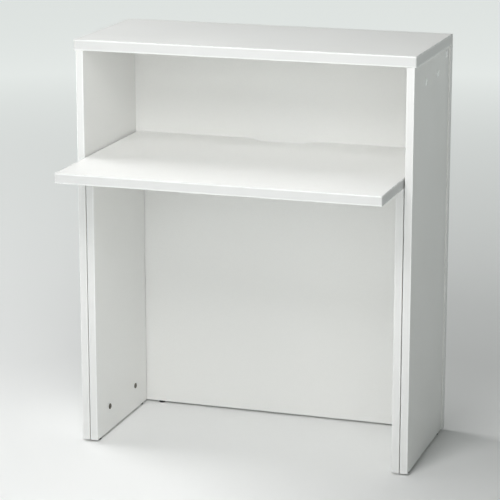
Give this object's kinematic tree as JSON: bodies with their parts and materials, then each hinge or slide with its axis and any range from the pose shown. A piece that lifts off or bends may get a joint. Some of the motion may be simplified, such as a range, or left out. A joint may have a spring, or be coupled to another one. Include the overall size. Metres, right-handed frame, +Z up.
{
  "type": "checkout counter",
  "caption": "Free-standing white board counter: high top over a deep projecting work shelf, paired side panels, full rear panel, open staff side, screw-in levelling feet.",
  "frame": {"origin": "on the floor, at the middle of the overall width and depth (bottom centre of the bounding box)", "axes": "+Z up; +X to the right as the staff see it from behind the counter; +Y towards the customer side, so the work shelf projects to -Y"},
  "size_m": [0.9, 0.6, 1.08],
  "materials": {
    "white_board": "white melamine facing, satin, fine pebble texture",
    "edge_band": "white plastic edge band, satin",
    "foot_plastic": "black moulded plastic",
    "cap_plastic": "off-white moulded plastic, satin",
    "steel": "zinc-plated steel, threaded",
    "zinc": "die-cast zinc, satin",
    "bronzed_steel": "bronzed steel, satin",
    "beech": "fluted beech dowel, unfinished"
  },
  "bodies": {
    "carcass": {"top_board": "white_board", "top_edge_band": "edge_band", "rear_panel": "white_board", "work_shelf": "white_board", "shelf_edge_band": "edge_band", "outer_side_panel_left": "white_board", "inner_side_panel_left": "white_board", "outer_side_panel_right": "white_board", "inner_side_panel_right": "white_board", "insert_outer_left_front": "steel", "insert_inner_left_front": "steel", "insert_outer_left_rear": "steel", "insert_inner_left_rear": "steel", "insert_rear_left": "steel", "insert_outer_right_front": "steel", "insert_inner_right_front": "steel", "insert_outer_right_rear": "steel", "insert_inner_right_rear": "steel", "insert_rear_right": "steel", "cover_cap_left_front": "cap_plastic", "cam_left_front": "zinc", "cam_bolt_left_front": "steel", "cover_cap_left_middle": "cap_plastic", "cam_left_middle": "zinc", "cam_bolt_left_middle": "steel", "cover_cap_left_rear": "cap_plastic", "cam_left_rear": "zinc", "cam_bolt_left_rear": "steel", "connector_bolt_left_front": "bronzed_steel", "sleeve_nut_left_front": "zinc", "shelf_dowel_left_front": "beech", "connector_bolt_left_rear": "bronzed_steel", "sleeve_nut_left_rear": "zinc", "shelf_dowel_left_rear": "beech", "cover_cap_right_front": "cap_plastic", "cam_right_front": "zinc", "cam_bolt_right_front": "steel", "cover_cap_right_middle": "cap_plastic", "cam_right_middle": "zinc", "cam_bolt_right_middle": "steel", "cover_cap_right_rear": "cap_plastic", "cam_right_rear": "zinc", "cam_bolt_right_rear": "steel", "connector_bolt_right_front": "bronzed_steel", "sleeve_nut_right_front": "zinc", "shelf_dowel_right_front": "beech", "connector_bolt_right_rear": "bronzed_steel", "sleeve_nut_right_rear": "zinc", "shelf_dowel_right_rear": "beech"},
    "foot_outer_left_front": {"foot_outer_left_front": "foot_plastic"},
    "foot_inner_left_front": {"foot_inner_left_front": "foot_plastic"},
    "foot_outer_left_rear": {"foot_outer_left_rear": "foot_plastic"},
    "foot_inner_left_rear": {"foot_inner_left_rear": "foot_plastic"},
    "foot_rear_left": {"foot_rear_left": "foot_plastic"},
    "foot_outer_right_front": {"foot_outer_right_front": "foot_plastic"},
    "foot_inner_right_front": {"foot_inner_right_front": "foot_plastic"},
    "foot_outer_right_rear": {"foot_outer_right_rear": "foot_plastic"},
    "foot_inner_right_rear": {"foot_inner_right_rear": "foot_plastic"},
    "foot_rear_right": {"foot_rear_right": "foot_plastic"}
  },
  "joints": [
    {"name": "foot_outer_left_front_height", "type": "slide", "parent": "carcass", "child": "foot_outer_left_front", "axis": [0, 0, -1], "range_m": [0, 0.01]},
    {"name": "foot_inner_left_front_height", "type": "slide", "parent": "carcass", "child": "foot_inner_left_front", "axis": [0, 0, -1], "range_m": [0, 0.01]},
    {"name": "foot_outer_left_rear_height", "type": "slide", "parent": "carcass", "child": "foot_outer_left_rear", "axis": [0, 0, -1], "range_m": [0, 0.01]},
    {"name": "foot_inner_left_rear_height", "type": "slide", "parent": "carcass", "child": "foot_inner_left_rear", "axis": [0, 0, -1], "range_m": [0, 0.01]},
    {"name": "foot_rear_left_height", "type": "slide", "parent": "carcass", "child": "foot_rear_left", "axis": [0, 0, -1], "range_m": [0, 0.01]},
    {"name": "foot_outer_right_front_height", "type": "slide", "parent": "carcass", "child": "foot_outer_right_front", "axis": [0, 0, -1], "range_m": [0, 0.01]},
    {"name": "foot_inner_right_front_height", "type": "slide", "parent": "carcass", "child": "foot_inner_right_front", "axis": [0, 0, -1], "range_m": [0, 0.01]},
    {"name": "foot_outer_right_rear_height", "type": "slide", "parent": "carcass", "child": "foot_outer_right_rear", "axis": [0, 0, -1], "range_m": [0, 0.01]},
    {"name": "foot_inner_right_rear_height", "type": "slide", "parent": "carcass", "child": "foot_inner_right_rear", "axis": [0, 0, -1], "range_m": [0, 0.01]},
    {"name": "foot_rear_right_height", "type": "slide", "parent": "carcass", "child": "foot_rear_right", "axis": [0, 0, -1], "range_m": [0, 0.01]}
  ]
}
